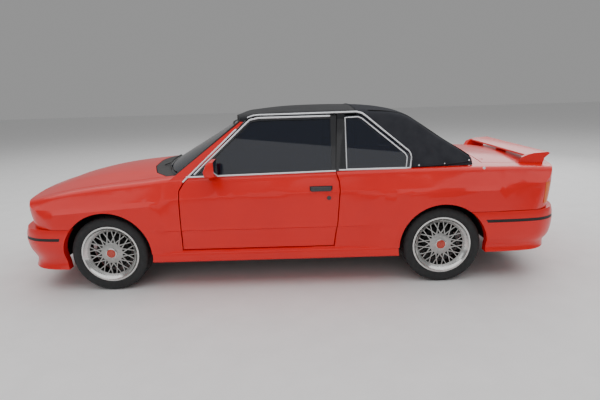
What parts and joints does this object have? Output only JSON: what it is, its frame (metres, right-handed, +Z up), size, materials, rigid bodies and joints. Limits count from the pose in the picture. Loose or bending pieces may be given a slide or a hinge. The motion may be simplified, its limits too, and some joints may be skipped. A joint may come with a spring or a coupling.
{
  "type": "two-door convertible car",
  "caption": "Two-door car with lift-off roof panel, folding fabric rear top, opening doors, bonnet and boot, steered front wheels and a boot-mounted wing.",
  "frame": {"origin": "on the ground, at the middle of the overall length and width", "axes": "+Z up, nose towards -X, left side towards -Y"},
  "size_m": [4.332, 1.852, 1.3611],
  "materials": {
    "paint": "gloss",
    "black_trim": "satin",
    "liner": "matt",
    "underbody": "satin",
    "lamp_clear": "gloss",
    "lamp_red": "gloss",
    "glass": "gloss",
    "vinyl": "grained",
    "canvas": "matt",
    "seat_cloth": "matt",
    "cabin_plastic": "matt",
    "engine_iron": "rough",
    "steel": "satin",
    "alloy": "satin",
    "tyre": "matt"
  },
  "bodies": {
    "body": {"floor_pan": "underbody", "scuttle": "black_trim", "front_frame": "underbody", "front_wings": "paint", "nose_panel": "paint", "grille": "black_trim", "headlamps": "lamp_clear", "bumper_front": "paint", "bumper_rear": "paint", "bumper_strips": "black_trim", "quarter_panels": "paint", "side_skirts": "paint", "tail_panel": "paint", "tail_lamps": "lamp_red", "rear_deck": "paint", "wheel_houses": "liner", "cabin_frame": "paint", "windscreen": "glass", "quarter_glass": "glass", "rear_window": "glass", "roof_panel": "vinyl", "soft_top": "canvas", "front_seats": "seat_cloth", "rear_bench": "seat_cloth", "dashboard": "cabin_plastic", "engine": "engine_iron", "exhaust": "steel", "rear_axle": "steel", "front_arms": "steel"},
    "door_left": {"door_left": "paint", "door_glass_left": "glass", "mirror_left": "paint"},
    "door_right": {"door_right": "paint", "door_glass_right": "glass", "mirror_right": "paint"},
    "bonnet": {"bonnet": "paint"},
    "boot_lid": {"boot_lid": "paint", "rear_wing": "paint"},
    "steering_wheel": {"steering_wheel": "cabin_plastic"},
    "knuckle_left": {"knuckle_left": "steel"},
    "knuckle_right": {"knuckle_right": "steel"},
    "wheel_front_left": {"rim_front_left": "alloy", "tyre_front_left": "tyre"},
    "wheel_front_right": {"rim_front_right": "alloy", "tyre_front_right": "tyre"},
    "wheel_rear_left": {"rim_rear_left": "alloy", "tyre_rear_left": "tyre"},
    "wheel_rear_right": {"rim_rear_right": "alloy", "tyre_rear_right": "tyre"}
  },
  "joints": [
    {"name": "door_left_hinge", "type": "hinge", "parent": "body", "child": "door_left", "pos_m": [-0.7605, -0.808, 0.6], "axis": [0, 0, -1], "range_deg": [0, 65]},
    {"name": "door_right_hinge", "type": "hinge", "parent": "body", "child": "door_right", "pos_m": [-0.7605, 0.808, 0.6], "axis": [0, 0, 1], "range_deg": [0, 65]},
    {"name": "bonnet_hinge", "type": "hinge", "parent": "body", "child": "bonnet", "pos_m": [-2.0915, 0, 0.712], "axis": [0, -1, 0], "range_deg": [0, 65]},
    {"name": "boot_hinge", "type": "hinge", "parent": "body", "child": "boot_lid", "pos_m": [1.5695, 0, 0.905], "axis": [0, -1, 0], "range_deg": [0, 75]},
    {"name": "steer_left", "type": "hinge", "parent": "body", "child": "knuckle_left", "pos_m": [-1.3825, -0.64, 0.185], "axis": [0, 0.2014, 0.9795], "range_deg": [-35, 35]},
    {"name": "steer_right", "type": "hinge", "parent": "body", "child": "knuckle_right", "pos_m": [-1.3825, 0.64, 0.185], "axis": [0, -0.2014, 0.9795], "range_deg": [-35, 35]},
    {"name": "column_turn", "type": "hinge", "parent": "body", "child": "steering_wheel", "pos_m": [-0.4825, -0.35, 0.765], "axis": [0.9363, 0, 0.3511], "range_deg": [-630, 630]},
    {"name": "spin_front_left", "type": "hinge", "parent": "knuckle_left", "child": "wheel_front_left", "pos_m": [-1.3825, -0.703, 0.296], "axis": [0, -1, 0], "continuous": true},
    {"name": "spin_rear_left", "type": "hinge", "parent": "body", "child": "wheel_rear_left", "pos_m": [1.1825, -0.703, 0.296], "axis": [0, -1, 0], "continuous": true},
    {"name": "spin_front_right", "type": "hinge", "parent": "knuckle_right", "child": "wheel_front_right", "pos_m": [-1.3825, 0.703, 0.296], "axis": [0, -1, 0], "continuous": true},
    {"name": "spin_rear_right", "type": "hinge", "parent": "body", "child": "wheel_rear_right", "pos_m": [1.1825, 0.703, 0.296], "axis": [0, -1, 0], "continuous": true}
  ],
  "couplings": [
    {"joint": "steer_right", "follows": "steer_left", "ratio": 1},
    {"joint": "column_turn", "follows": "steer_left", "ratio": 18}
  ]
}
